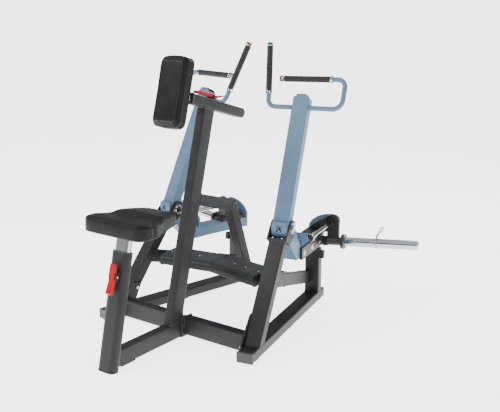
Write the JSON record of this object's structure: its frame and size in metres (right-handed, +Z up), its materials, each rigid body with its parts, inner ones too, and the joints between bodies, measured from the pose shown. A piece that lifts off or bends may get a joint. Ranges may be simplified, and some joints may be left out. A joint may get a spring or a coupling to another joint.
{
  "type": "plate-loaded chest-supported seated row machine",
  "caption": "Seated row with a chest pad, an adjustable seat and two independent lever arms that carry plate-loaded weight horns.",
  "frame": {"origin": "on the floor in the centre plane, midway between the front of the seat sleeve and the rear of the base tubes", "axes": "+Z up; +Y the way the seated user faces; +X the user's right"},
  "size_m": [1.6706, 1.4742, 1.4165],
  "materials": {
    "frame_paint": "fine-textured charcoal powder coat, semi-matt",
    "black_paint": "satin black powder coat",
    "arm_paint": "steel blue powder coat with a slight metallic sheen",
    "chrome": "polished chrome plate",
    "rubber": "moulded black rubber",
    "grip_rubber": "knurled black rubber grip",
    "black_plastic": "matt black plastic",
    "red_plastic": "satin red plastic",
    "upholstery": "fine-grained black vinyl over foam"
  },
  "bodies": {
    "frame": {"base_beam": "frame_paint", "mast": "frame_paint", "upper_brace": "frame_paint", "rear_leg": "frame_paint", "seat_sleeve": "frame_paint", "crossbars": "frame_paint", "cross_rails": "frame_paint", "foot_plates": "frame_paint", "left_base_tube": "frame_paint", "right_base_tube": "frame_paint", "left_upright": "frame_paint", "right_upright": "frame_paint", "left_rear_post": "frame_paint", "right_rear_post": "frame_paint", "mid_braces": "frame_paint", "left_clevis": "black_paint", "right_clevis": "black_paint", "pivot_bearings": "chrome", "stop_bumpers": "rubber", "rubber_feet": "rubber", "end_caps": "black_plastic", "frame_bolts": "chrome", "pad_sleeve": "frame_paint", "sleeve_liners": "black_plastic"},
    "seat": {"seat_post": "chrome", "seat_plate": "black_paint", "seat_cushion": "upholstery"},
    "seat_release": {"seat_lever": "red_plastic"},
    "pad": {"pad_tube": "chrome", "pad_plate": "black_paint", "chest_pad": "upholstery"},
    "pad_release": {"pad_lever": "red_plastic"},
    "left_arm": {"left_arm_tube": "arm_paint", "left_arm_hub": "arm_paint", "left_arm_cap": "black_plastic", "left_lower_lever": "arm_paint", "left_pivot_shaft": "chrome", "left_handle": "arm_paint", "left_grips": "grip_rubber", "left_handle_fittings": "chrome", "left_guide_rod": "chrome", "left_guide_rail": "black_paint"},
    "left_weight_carriage": {"left_carriage": "black_paint", "left_carriage_pads": "red_plastic", "left_horn": "chrome"},
    "left_clip": {"left_horn_clip": "chrome"},
    "right_arm": {"right_arm_tube": "arm_paint", "right_arm_hub": "arm_paint", "right_arm_cap": "black_plastic", "right_lower_lever": "arm_paint", "right_pivot_shaft": "chrome", "right_handle": "arm_paint", "right_grips": "grip_rubber", "right_handle_fittings": "chrome", "right_guide_rod": "chrome", "right_guide_rail": "black_paint"},
    "right_weight_carriage": {"right_carriage": "black_paint", "right_carriage_pads": "red_plastic", "right_horn": "chrome"},
    "right_clip": {"right_horn_clip": "chrome"}
  },
  "joints": [
    {"name": "left_arm_pivot", "type": "hinge", "parent": "frame", "child": "left_arm", "pos_m": [-0.36157, 0.15497, 0.531], "axis": [0.9781, -0.2079, 0], "range_deg": [0, 48]},
    {"name": "left_carriage_slide", "type": "slide", "parent": "left_arm", "child": "left_weight_carriage", "axis": [-0.2079, -0.9781, 0], "range_m": [0, 0.15]},
    {"name": "left_clip_slide", "type": "slide", "parent": "left_weight_carriage", "child": "left_clip", "axis": [-0.9761, 0.2075, 0.0645], "range_m": [-0.14, 0.18]},
    {"name": "right_arm_pivot", "type": "hinge", "parent": "frame", "child": "right_arm", "pos_m": [0.36157, 0.15497, 0.531], "axis": [0.9781, 0.2079, 0], "range_deg": [0, 48]},
    {"name": "right_carriage_slide", "type": "slide", "parent": "right_arm", "child": "right_weight_carriage", "axis": [0.2079, -0.9781, 0], "range_m": [0, 0.15]},
    {"name": "right_clip_slide", "type": "slide", "parent": "right_weight_carriage", "child": "right_clip", "axis": [0.9761, 0.2075, 0.0645], "range_m": [-0.14, 0.18]},
    {"name": "seat_height", "type": "slide", "parent": "frame", "child": "seat", "axis": [0, 0.2215, 0.9751], "range_m": [-0.05, 0.12]},
    {"name": "seat_release_pivot", "type": "hinge", "parent": "frame", "child": "seat_release", "pos_m": [0, -0.647, 0.428], "axis": [-1, 0, 0], "range_deg": [0, 12]},
    {"name": "pad_reach", "type": "slide", "parent": "frame", "child": "pad", "axis": [0, -0.9646, 0.2639], "range_m": [-0.05, 0.1]},
    {"name": "pad_release_pivot", "type": "hinge", "parent": "frame", "child": "pad_release", "pos_m": [0, 0.06227, 1.15976], "axis": [-1, 0, 0], "range_deg": [0, 18]}
  ]
}
